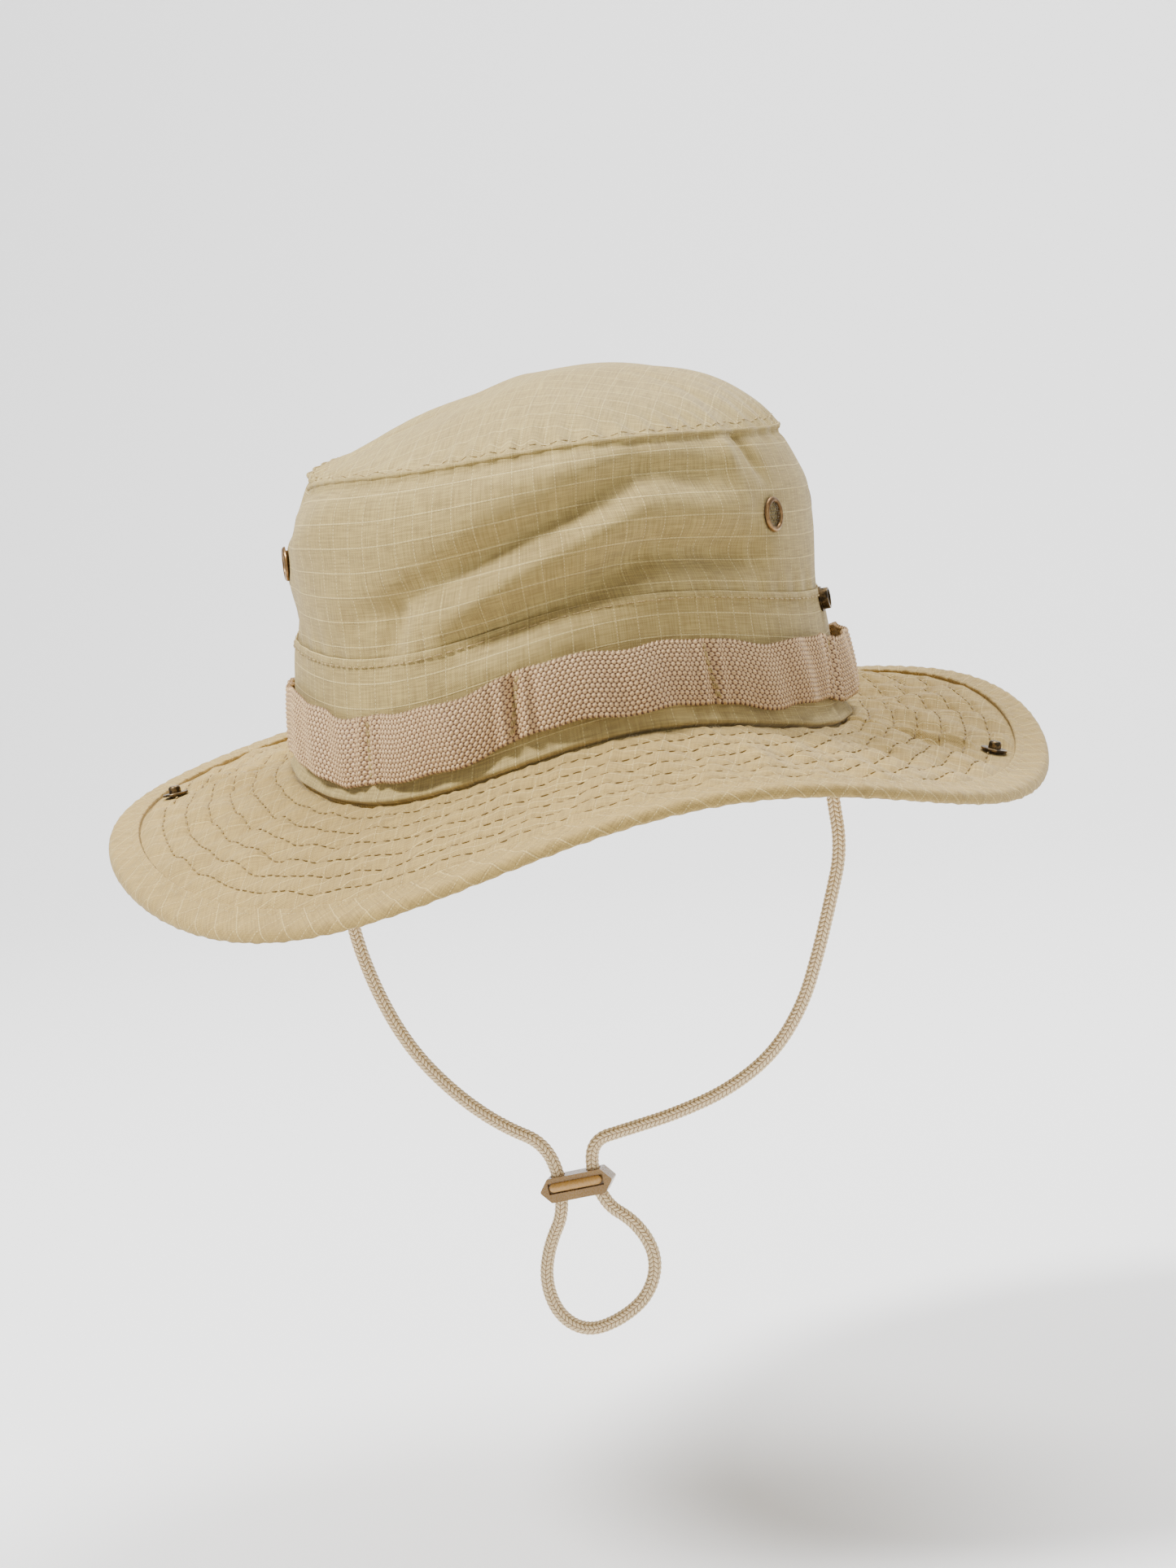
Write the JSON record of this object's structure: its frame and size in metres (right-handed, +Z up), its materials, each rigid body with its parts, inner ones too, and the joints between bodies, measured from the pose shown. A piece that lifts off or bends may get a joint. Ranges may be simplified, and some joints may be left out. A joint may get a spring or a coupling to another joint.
{
  "type": "boonie hat",
  "caption": "Wide-brimmed cloth field hat with a webbing band, screened vents, snap-up brim sides and a braided chin cord with a slider.",
  "frame": {"origin": "centre of the head opening at the height of the brim seam", "axes": "+Z up through the crown, -Y is the hat's front, +X is the wearer's left"},
  "size_m": [0.3, 0.317, 0.3064],
  "materials": {
    "crown_ripstop": "plain weave ripstop",
    "brim_ripstop": "plain weave ripstop, quilted",
    "bias_binding": "bias-cut ripstop",
    "interlining": "matte",
    "webbing_weave": "coarse woven tape",
    "sweatband_tape": "soft woven tape",
    "screen_wire": "woven wire",
    "antique_brass": "antique",
    "dark_bronze": "dark antique",
    "braided_cord": "braided",
    "anchor_tape": "matte",
    "slider_plastic": "satin",
    "slider_bar_plastic": "satin"
  },
  "bodies": {
    "crown": {"branch_loop_webbing": "webbing_weave", "brim_binding_centre": "bias_binding", "brim_interlining_centre": "interlining", "brim_lower_back_centre": "brim_ripstop", "brim_lower_front_centre": "brim_ripstop", "brim_upper_back_centre": "brim_ripstop", "brim_upper_front_centre": "brim_ripstop", "crown_lower_band": "crown_ripstop", "crown_sidewall": "crown_ripstop", "crown_top": "crown_ripstop", "snap_socket_cap_left": "dark_bronze", "snap_socket_cap_right": "dark_bronze", "snap_socket_left": "dark_bronze", "snap_socket_right": "dark_bronze", "sweatband": "sweatband_tape", "vent_eyelet_back_left": "antique_brass", "vent_eyelet_back_right": "antique_brass", "vent_eyelet_front_left": "antique_brass", "vent_eyelet_front_right": "antique_brass", "vent_screen_back_left": "screen_wire", "vent_screen_back_right": "screen_wire", "vent_screen_front_left": "screen_wire", "vent_screen_front_right": "screen_wire", "vent_washers": "antique_brass"},
    "brim_left": {"brim_binding_left": "bias_binding", "brim_interlining_left": "interlining", "brim_lower_back_left": "brim_ripstop", "brim_lower_front_left": "brim_ripstop", "brim_upper_back_left": "brim_ripstop", "brim_upper_front_left": "brim_ripstop", "snap_stud_cap_left": "dark_bronze", "snap_stud_left": "dark_bronze"},
    "brim_right": {"brim_binding_right": "bias_binding", "brim_interlining_right": "interlining", "brim_lower_back_right": "brim_ripstop", "brim_lower_front_right": "brim_ripstop", "brim_upper_back_right": "brim_ripstop", "brim_upper_front_right": "brim_ripstop", "snap_stud_cap_right": "dark_bronze", "snap_stud_right": "dark_bronze"},
    "chin_cord": {"chin_cord_left": "braided_cord", "chin_cord_right": "braided_cord", "cord_anchor_tab_left": "anchor_tape", "cord_anchor_tab_right": "anchor_tape"},
    "cord_slider": {"chin_cord_loop": "braided_cord", "cord_slider_bar": "slider_bar_plastic", "cord_slider_body": "slider_plastic"}
  },
  "joints": [
    {"name": "brim_fold_left", "type": "hinge", "parent": "crown", "child": "brim_left", "pos_m": [0.0945, 0, -0.00079], "axis": [0, -1, 0], "range_deg": [0, 116]},
    {"name": "brim_fold_right", "type": "hinge", "parent": "crown", "child": "brim_right", "pos_m": [-0.0945, 0, 0.001], "axis": [0, 1, 0], "range_deg": [0, 106]},
    {"name": "chin_cord_swing", "type": "hinge", "parent": "crown", "child": "chin_cord", "pos_m": [0, 0, 0.004], "axis": [1, 0, 0], "range_deg": [-60, 60]},
    {"name": "cord_slider_travel", "type": "slide", "parent": "chin_cord", "child": "cord_slider", "axis": [0, 0, 1], "range_m": [-0.02, 0.06], "deforming": ["chin_cord_left", "chin_cord_right"]}
  ]
}
